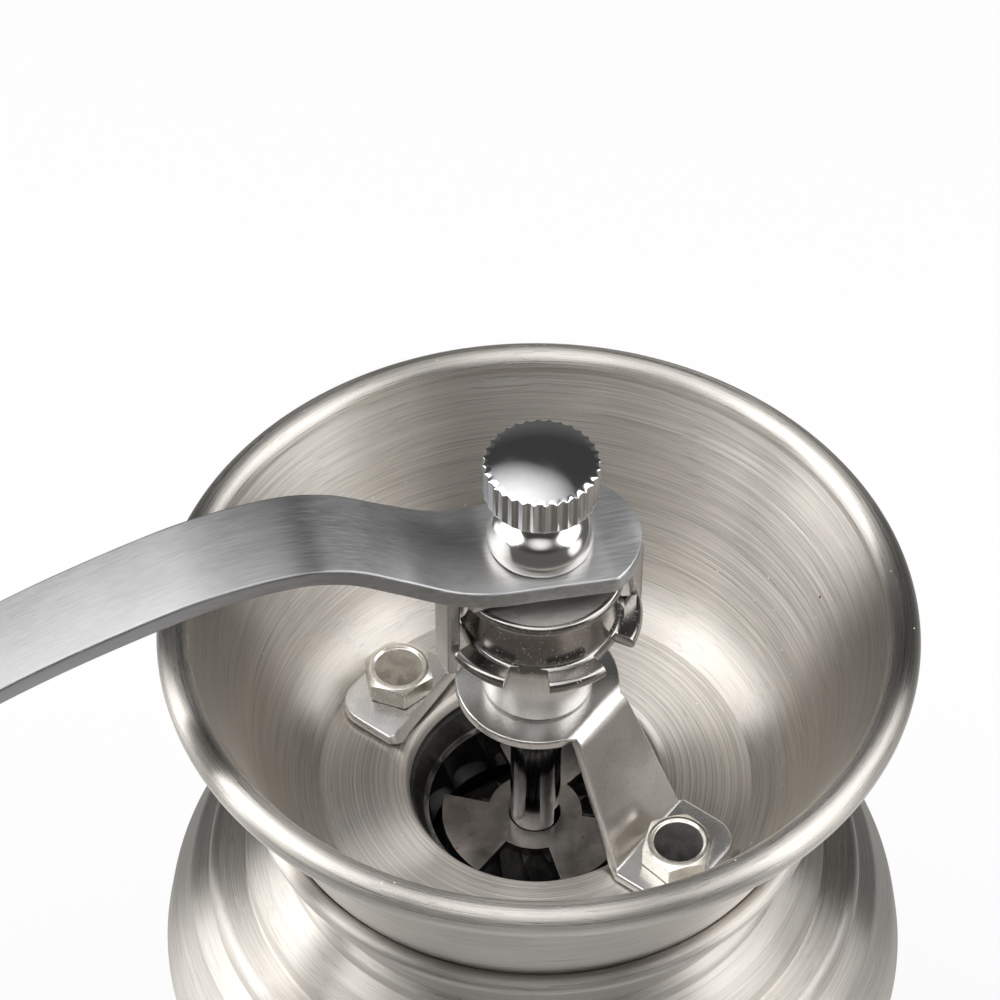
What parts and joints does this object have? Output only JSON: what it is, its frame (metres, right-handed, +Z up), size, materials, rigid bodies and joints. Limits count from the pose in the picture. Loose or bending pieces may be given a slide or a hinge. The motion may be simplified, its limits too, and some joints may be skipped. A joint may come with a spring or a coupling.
{
  "type": "manual coffee grinder",
  "caption": "Hand-cranked coffee grinder: open steel hopper on a tiered body over a receiver cup, conical burrs on a vertical shaft under a bridge, crank with turning knob and thumb screw.",
  "frame": {"origin": "centre of the non-slip pad's underside, on the shaft's axis and on the table", "axes": "+Z up along the shaft, -X along the crank towards its knob, +Y completes a right-handed frame"},
  "size_m": [0.2047, 0.1204, 0.1887],
  "materials": {
    "brushed_steel": "satin, brushed round the axis of each spun shell",
    "stamped_steel": "stamped, lightly grained",
    "chrome": "polished",
    "plated_steel": "plated, slightly warm",
    "cast_iron": "black, dull",
    "grey_steel": "dull, with fine rust specks",
    "bronze": "sintered",
    "black_silicone": "matt",
    "turned_wood": "turned, clear lacquer"
  },
  "bodies": {
    "container": {"receiver_cup": "brushed_steel", "cup_seal": "black_silicone", "non_slip_pad": "black_silicone"},
    "mill": {"mill_dome": "brushed_steel", "hopper_bowl": "brushed_steel", "bridge_bracket": "stamped_steel", "outer_burr": "cast_iron", "upper_bushing": "plated_steel", "lower_bridge": "stamped_steel", "lower_bushing": "bronze", "bolt_right": "plated_steel", "bolt_left": "plated_steel", "washer_right": "plated_steel", "washer_left": "plated_steel", "nut_right": "plated_steel", "nut_left": "plated_steel"},
    "adjuster": {"adjusting_nut": "chrome"},
    "spindle": {"shaft": "chrome", "inner_burr": "cast_iron", "feed_plate": "grey_steel", "burr_washer": "plated_steel", "burr_nut": "plated_steel", "lock_plate": "stamped_steel", "crank_arm": "brushed_steel", "knob_spindle": "plated_steel", "knob_washer": "plated_steel", "knob_nut": "plated_steel"},
    "collar": {"dome_collar": "chrome"},
    "screw": {"thumb_screw": "chrome"},
    "knob": {"handle_knob": "turned_wood"}
  },
  "joints": [
    {"name": "mill_lift", "type": "slide", "parent": "container", "child": "mill", "axis": [0, 0, 1], "range_m": [0, 0.04]},
    {"name": "crank_spin", "type": "hinge", "parent": "mill", "child": "adjuster", "pos_m": [0, 0, 0.155], "axis": [0, 0, 1], "continuous": true},
    {"name": "grind_adjust", "type": "slide", "parent": "adjuster", "child": "spindle", "axis": [0, 0, 1], "range_m": [0, 0.0012]},
    {"name": "collar_rise", "type": "slide", "parent": "spindle", "child": "collar", "axis": [0, 0, 1], "range_m": [0, 0.005]},
    {"name": "thumb_screw_turn", "type": "hinge", "parent": "collar", "child": "screw", "pos_m": [0, 0, 0.18], "axis": [0, 0, 1], "range_deg": [0, 1800]},
    {"name": "knob_spin", "type": "hinge", "parent": "spindle", "child": "knob", "pos_m": [-0.13, 0, 0.17], "axis": [0, 0, 1], "continuous": true}
  ],
  "couplings": [
    {"joint": "collar_rise", "follows": "thumb_screw_turn", "m_per_rad": 0.00015915}
  ]
}
